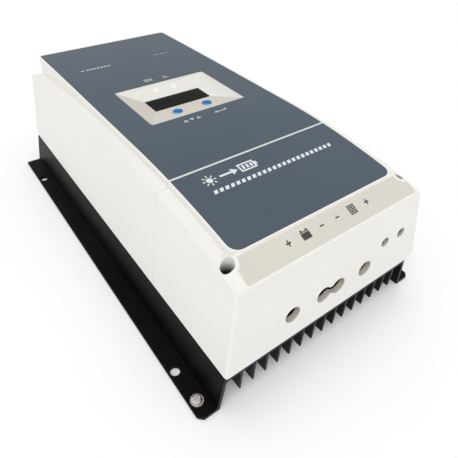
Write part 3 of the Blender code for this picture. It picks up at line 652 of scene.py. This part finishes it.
def terminal_label_marks(white):
    """A sun, an arrow and a battery, with a gauge of slanted bars below, where the title stands."""
    sun_x, arrow_x, battery_x = -53.0, -36.0, -18.5
    row_y = SYMBOL_ROW_Y
    sun = [disc(sun_x, row_y, 2.7)]
    sun += [spoke(sun_x, row_y, 45 * step, 3.7, 5.8, 1.1) for step in range(8)]
    stamp("mark_sun", sun, "terminal_label", white)
    arrow = [rectangle(arrow_x - 2.5, row_y, 11, 2.0)]
    arrow.append(polygon(arrow_x + 3.0, row_y, [(0, -3.6), (5.5, 0), (0, 3.6)]))
    stamp("mark_arrow", arrow, "terminal_label", white)
    frame_width, frame_height, line = 15.0, 9.0, 1.5
    half_x, half_y = (frame_width - line) / 2, (frame_height - line) / 2
    battery = [rectangle(battery_x, row_y + side * half_y, frame_width, line) for side in (-1, 1)]
    inner_height = frame_height - 2 * line
    battery += [rectangle(battery_x + side * half_x, row_y, line, inner_height) for side in (-1, 1)]
    battery.append(rectangle(battery_x + frame_width / 2 + 0.9, row_y, 1.8, 3.6))
    battery += [rectangle(battery_x - 3.7 + 3.7 * step, row_y, 2.2, 4.2, 0.6) for step in range(3)]
    stamp("mark_battery", battery, "terminal_label", white)
    gauge_start, gauge_end, bars = -59.0, 60.0, 24
    pitch = (gauge_end - gauge_start) / bars
    middles = [gauge_start + pitch * (i + 0.5) for i in range(bars)]
    gauge = [rectangle(x, GAUGE_ROW_Y, pitch * 0.62, 3.6, 1.2) for x in middles]
    stamp("mark_gauge", gauge, "terminal_label", white)


def upper_label_marks(soft):
    """Symbols above the display, arrows below it, and two plain rows near the far edge."""
    stamp("mark_panel", solar_panel(-9.0, 64.0, 8.6, 5.4, 3, 3, 0.5), "upper_label", soft)
    triangle = [(-3.8, -3.0), (3.8, -3.0), (0, 3.5), (-0.5, 2.5), (2.2, -2.1), (-2.8, -2.1)]
    warning = [polygon(9.0, 63.4, triangle), rectangle(9.0, 62.7, 0.8, 2.2)]
    stamp("mark_fault", warning, "upper_label", soft)
    upward = [(-2.6, -1.9), (2.6, -1.9), (0, 1.9)]
    downward = [(-2.6, 1.9), (0, -1.9), (2.6, 1.9)]
    choose = [polygon(-22.5 + 6.5 * i, CAPTION_ROW_Y, upward) for i in (0, 2)]
    choose.append(polygon(-16.0, CAPTION_ROW_Y, downward))
    stamp("mark_select", choose, "upper_label", soft)
    accept = [rectangle(15.5, -29.4, 10.0, 1.3), rectangle(20.3, -27.9, 1.3, 2.6)]
    accept.append(polygon(11.0, -29.4, [(0, -2.0), (0, 2.0), (-4.0, 0)]))
    stamp("mark_enter", accept, "upper_label", soft)
    plain = [rectangle(-50.0 + 4.0 * i, 120.6, 2.9, 3.0, 0.8) for i in range(7)]
    plain.append(polygon(-55.0, 120.6, [(-3.4, 0), (2.0, -2.0), (0.6, 0), (2.0, 2.0)]))
    stamp("mark_bar_left", plain, "upper_label", soft)
    dots = [disc(31.0 + 3.6 * i, 122.0, 1.0, 16) for i in range(5)]
    stamp("mark_bar_right", dots, "upper_label", soft)


def tray_plane(node, reach):
    """The tray's height under a node's middle, and how much it rises per metre of Y there."""
    low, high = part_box(node)
    x, y = (low.x + high.x) / 2, (low.y + high.y) / 2
    tray = surface_of("display_bezel")
    near, far = (top_at(tray, x, y + step) for step in (-reach, reach))
    return Vector((x, y, (near + far) / 2)), (far - near) / (2 * reach)


def ring_points(radius, sides=32):
    turns = [math.tau * i / sides for i in range(sides)]
    return [(radius * math.cos(t), radius * math.sin(t)) for t in turns]


def domed(node, material, radius, rise, lift, shaft):
    """A dome that leans with the tray's slope, on a straight shaft of (radius, z) steps."""
    middle, tilt = tray_plane(node, 0.006)
    bm = bmesh.new()
    loops = []
    for angle in (math.radians(degrees) for degrees in (7, 25, 45, 65, 90)):
        points = ring_points(radius * math.sin(angle))
        top = middle.z + lift + rise * math.cos(angle)
        loops.append([bm.verts.new((middle.x + a, middle.y + b, top + tilt * b)) for a, b in points])
    for ring, height in shaft:
        points = ring_points(ring)
        loops.append([bm.verts.new((middle.x + a, middle.y + b, height)) for a, b in points])
    for upper, lower in zip(loops, loops[1:]):
        for i in range(len(upper)):
            bm.faces.new((upper[i], lower[i], lower[i - 1], upper[i - 1]))
    bm.faces.new(loops[0])
    bm.faces.new(list(reversed(loops[-1])))
    bmesh.ops.recalc_face_normals(bm, faces=bm.faces)
    name = node + "_domed"
    mesh = mesh_of(bm, name, material)
    mesh.shade_smooth()
    mesh.set_sharp_from_angle(angle=math.radians(50))
    item = new_object(name, mesh)
    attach(item, NODES[node]["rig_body"])
    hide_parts(node)


def domed_pieces():
    """The lenses cover their holes with a flange; the keys stand a little out of theirs."""
    milky = milky_lens("light_pipe_milky")
    for node in ("charging_light_pipe", "fault_light_pipe"):
        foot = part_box(node)[0].z
        flange, stem, stem_length = 0.0041, 0.0034, 0.011
        shaft = [(stem, foot + stem_length), (stem, foot)]
        domed(node, milky, flange, 0.0012, 0.0001, shaft)
    blue = key_plastic("key_blue")
    for node in ("select_button", "enter_button"):
        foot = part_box(node)[0].z
        cap, collar, stem = 0.0046, 0.006, 0.0022
        top, under = foot + 0.0023, foot + 0.0011
        shaft = [(cap, top), (collar, top), (collar, under), (stem, under), (stem, foot)]
        domed(node, blue, cap, 0.0010, 0.0010, shaft)


def slope_outline():
    """The beige film's plan outline: hollowed round the screw wells at both ends."""
    low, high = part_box("terminal_cover_screw_right")
    well_x, well_y = (low.x + high.x) / 2 / MM, (low.y + high.y) / 2 / MM
    clear, steps = WELL_CLEARANCE, 10
    points = []
    for side, end_x in ((1, SLOPE_RIGHT_END_X), (-1, SLOPE_LEFT_END_X)):
        start = math.asin((SLOPE_TOP_Y - well_y) / clear)
        end = math.acos((well_x - end_x) / clear)
        arc = [start - (start + end) * i / steps for i in range(steps + 1)]
        edge = [(side * (well_x - clear * math.cos(t)), well_y + clear * math.sin(t)) for t in arc]
        edge.append((side * end_x, SLOPE_LOW_Y + FILM_CORNER))
        edge.append((side * (end_x - FILM_CORNER), SLOPE_LOW_Y))
        points += edge if side == 1 else list(reversed(edge))
    return [(x * MM, y * MM) for x, y in points]


def slope_film():
    film = printed_film("beige_film", SLOPE_FILM, scaled(SLOPE_FILM, 0.95), 0.45)
    creases = (-SLOPE_CREASE_X * MM, SLOPE_CREASE_X * MM)
    stamp("slope_film", [slope_outline()], "terminal_cover", film, FILM_LIFT, FILM_THICKNESS, creases)


def slope_marks(dark):
    """Terminal symbols over the cable holes."""
    row_y = SLOPE_ROW_Y
    spots = [FIRST_CABLE_X + CABLE_PITCH * index for index in range(6)]
    for number, x in enumerate((spots[0], spots[5]), 1):
        plus = [rectangle(x, row_y, 4.2, 1.0)]
        plus += [rectangle(x, row_y + side * 1.3, 1.0, 1.6) for side in (1, -1)]
        stamp(f"mark_plus_{number}", plus, "terminal_cover", dark, SLOPE_MARK_LIFT)
    for number, x in enumerate((spots[2], spots[3]), 1):
        minus = [rectangle(x, row_y, 3.8, 0.9)]
        stamp(f"mark_minus_{number}", minus, "terminal_cover", dark, SLOPE_MARK_LIFT)
    x = spots[1]
    cell = [rectangle(x, row_y - 1.0, 7.6, 4.4), rectangle(x, row_y + 1.95, 7.6, 0.7)]
    cell += [rectangle(x + side * 2.2, row_y + 2.9, 1.6, 0.9) for side in (-1, 1)]
    stamp("mark_cell", cell, "terminal_cover", dark, SLOPE_MARK_LIFT)
    panel = solar_panel(spots[4], row_y, 7.0, 6.8, 4, 5, 0.35)
    stamp("mark_array", panel, "terminal_cover", dark, SLOPE_MARK_LIFT)


def add_camera():
    """Looks from the photograph's viewpoint: the axes of the camera, then its place."""
    azimuth = math.radians(CAMERA_AZIMUTH)
    elevation = math.radians(CAMERA_ELEVATION)
    roll = math.radians(CAMERA_ROLL)
    level = Vector((math.cos(azimuth), math.sin(azimuth), 0))
    back = Vector((math.sin(azimuth), -math.cos(azimuth), 0)) * math.cos(elevation)
    back.z = math.sin(elevation)
    rise = back.cross(level)
    right = level * math.cos(roll) + rise * math.sin(roll)
    up = rise * math.cos(roll) - level * math.sin(roll)
    data = bpy.data.cameras.new("camera")
    data.lens = CAMERA_LENS
    data.sensor_width = 36
    data.shift_x, data.shift_y = CAMERA_SHIFT
    data.clip_start = 0.01
    camera = new_object("camera", data)
    turn = Matrix((right, up, back)).transposed().to_4x4()
    camera.matrix_world = Matrix.Translation(CAMERA_PLACE) @ turn
    bpy.context.scene.camera = camera


def add_light(name, towards, spread_angle, strength):
    data = bpy.data.lights.new(name, "SUN")
    data.angle = math.radians(spread_angle)
    data.energy = strength
    lamp = new_object(name, data)
    lamp.rotation_euler = Vector(towards).to_track_quat("-Z", "Y").to_euler()


def add_studio():
    """A pale floor under a white sky, and one broad light from above."""
    bm = bmesh.new()
    bmesh.ops.create_grid(bm, x_segments=4, y_segments=4, size=6)
    floor = new_object("floor", mesh_of(bm, "floor", pale_floor("floor_pale")))
    world = bpy.data.worlds.new("studio")
    bpy.context.scene.world = world
    world.use_nodes = True
    backdrop = world.node_tree.nodes["Background"]
    backdrop.inputs["Color"].default_value = (1, 1, 1, 1)
    backdrop.inputs["Strength"].default_value = SKY_STRENGTH
    add_light("key", LIGHT_TOWARDS, LIGHT_SPREAD, LIGHT_STRENGTH)
    bpy.context.scene.view_settings.view_transform = "Standard"


def build():
    dress_nodes()
    round_nodes()
    white = ink("print_white", PRINT_WHITE)
    soft = ink("print_soft", PRINT_SOFT)
    dark = ink("print_dark", PRINT_DARK)
    terminal_label_marks(white)
    upper_label_marks(soft)
    slope_film()
    slope_marks(dark)
    domed_pieces()
    add_camera()
    add_studio()


build()
